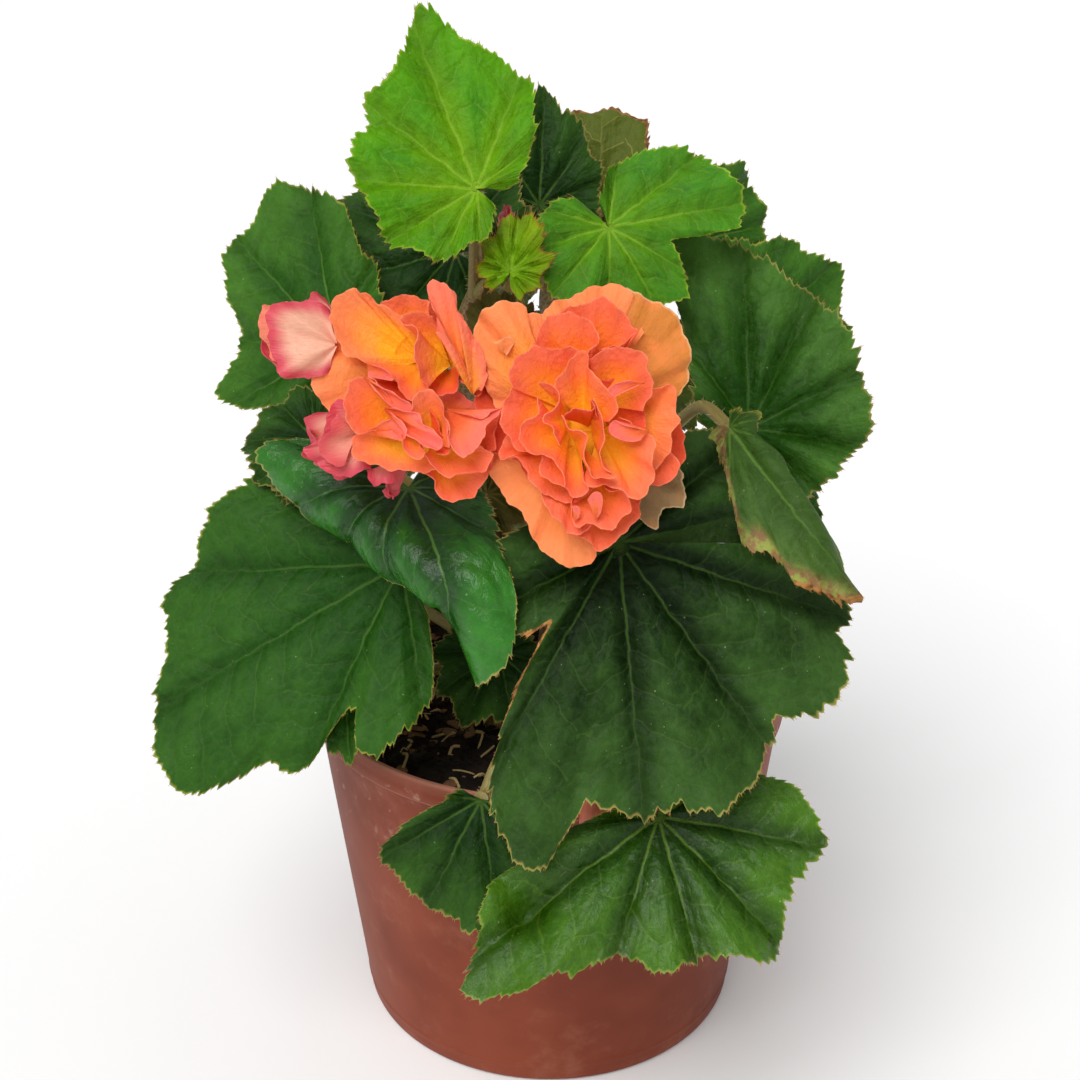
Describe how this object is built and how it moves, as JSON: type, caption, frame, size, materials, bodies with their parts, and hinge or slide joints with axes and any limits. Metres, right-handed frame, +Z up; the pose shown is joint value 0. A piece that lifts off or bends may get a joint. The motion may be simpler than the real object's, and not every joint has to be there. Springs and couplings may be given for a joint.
{
  "type": "potted begonia",
  "caption": "Flowering begonia with double orange blooms and toothed green leaves, standing in a round tapered nursery pot filled with soil.",
  "frame": {"origin": "middle of the pot's flat underside, on the surface that the pot stands on", "axes": "+Z up, +X to the right and -Y towards someone who stands in front of the plant"},
  "size_m": [0.1943, 0.2071, 0.298],
  "materials": {
    "pot": "matte",
    "soil": "matte",
    "stem": "satin",
    "leaf_bright": "satin",
    "leaf_mid": "satin",
    "leaf_dark": "gloss",
    "leaf_back": "matte",
    "petal": "satin",
    "bud": "satin"
  },
  "bodies": {
    "root": {"leaf_top": "leaf_bright", "leaf_top_right": "leaf_bright", "leaf_low_front": "leaf_bright", "leaf_young": "leaf_bright", "leaf_left_high": "leaf_mid", "leaf_left_big": "leaf_mid", "leaf_left_under": "leaf_mid", "leaf_curled": "leaf_mid", "leaf_back_right_high": "leaf_mid", "leaf_back_right": "leaf_mid", "leaf_right_fragment": "leaf_mid", "leaf_far_1": "leaf_mid", "leaf_far_2": "leaf_mid", "leaf_far_3": "leaf_mid", "leaf_far_4": "leaf_mid", "leaf_far_5": "leaf_mid", "leaf_far_6": "leaf_mid", "leaf_far_7": "leaf_mid", "leaf_far_8": "leaf_mid", "leaf_far_9": "leaf_mid", "leaf_glossy": "leaf_dark", "leaf_front_big": "leaf_dark", "leaf_right_big": "leaf_dark", "leaf_back_top": "leaf_dark", "leaf_back_left": "leaf_dark", "leaf_left_small": "leaf_dark", "leaf_over_pot": "leaf_dark", "leaf_inner_low": "leaf_dark", "leaf_back_curled": "leaf_back", "leaf_inner_small": "leaf_back", "leaf_inner_high": "leaf_back", "bloom_right": "petal", "bloom_left_upper": "petal", "bloom_left_lower": "petal", "bud_left": "bud", "bud_crimson": "bud", "bud_small": "bud", "bud_top": "bud", "bud_low": "bud", "stem_left": "stem", "stem_right": "stem", "stem_back": "stem", "stem_front": "stem", "pot": "pot", "soil": "soil"}
  },
  "joints": []
}
